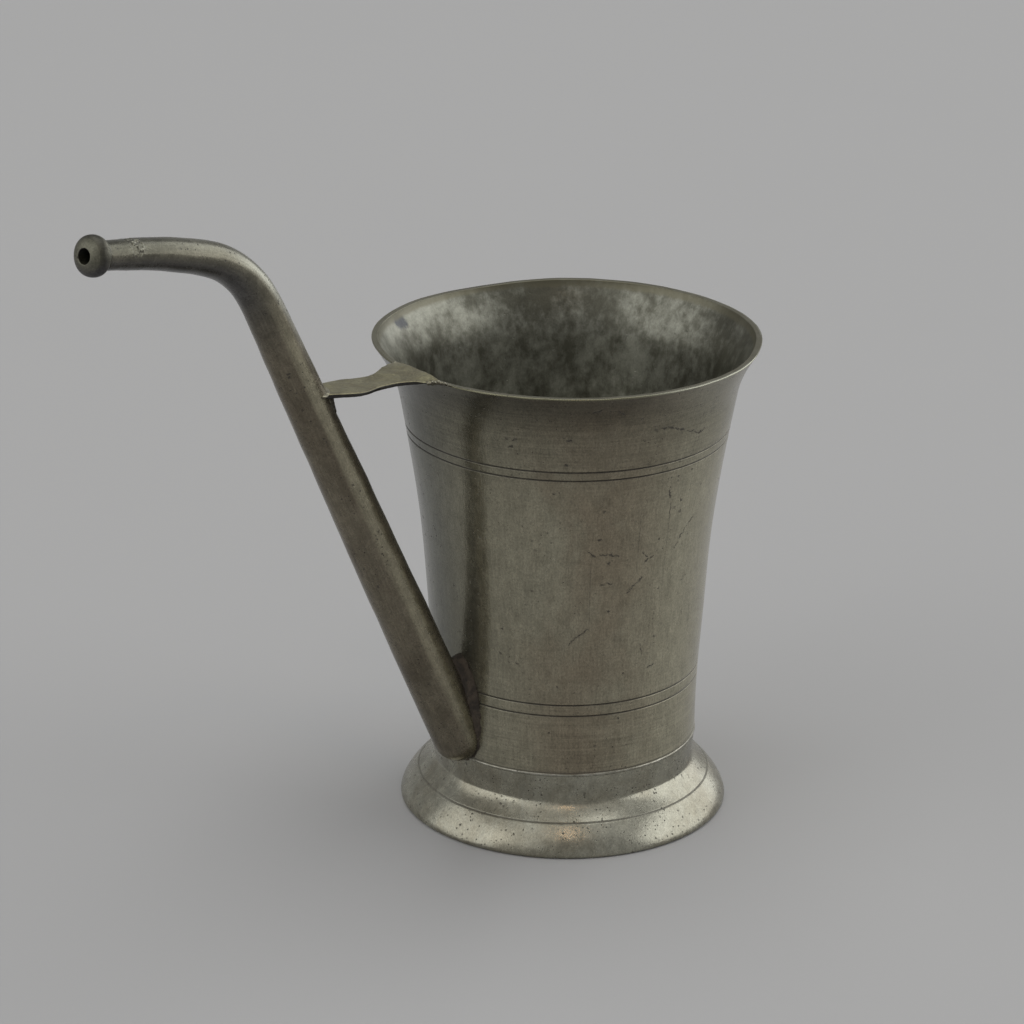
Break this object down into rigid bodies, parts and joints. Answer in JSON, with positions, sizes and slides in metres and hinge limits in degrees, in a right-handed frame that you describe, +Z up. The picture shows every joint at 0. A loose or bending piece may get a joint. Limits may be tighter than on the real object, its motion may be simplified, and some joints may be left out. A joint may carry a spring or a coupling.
{
  "type": "feeding jug",
  "caption": "Flared pewter feeding beaker on a moulded foot, with a long bent spout that ends in a small bored mouth bulb and is tied to the lip by a flat bracket.",
  "frame": {"origin": "on the drum's axis, in the plane that the foot stands on", "axes": "+Z up along the drum's axis; -X towards the side that the spout leaves; +Y completes a right-handed frame, so the spout's top turns a little towards -Y"},
  "size_m": [0.181, 0.0884, 0.1633],
  "materials": {
    "drum_pewter": "aged pewter, satin, with fine upright grain, pits and scratches",
    "foot_pewter": "aged cast pewter, brighter where it rubs, pitted",
    "spout_pewter": "aged pewter, brown and satin",
    "bracket_pewter": "aged pewter, warm grey, edges rubbed bright",
    "solder": "soft solder, lumpy and a little brighter than the pewter",
    "dark_solder": "soft solder under dark tarnish"
  },
  "bodies": {
    "root": {"cup_drum": "drum_pewter", "cup_bottom": "drum_pewter", "foot": "foot_pewter", "spout_tube": "spout_pewter", "mouthpiece": "spout_pewter", "rim_bracket": "bracket_pewter", "bottom_solder": "solder", "foot_solder": "solder", "root_solder": "dark_solder", "mouthpiece_solder": "solder", "strap_solder": "solder", "fan_solder_front": "solder", "fan_solder_back": "solder"}
  },
  "joints": []
}
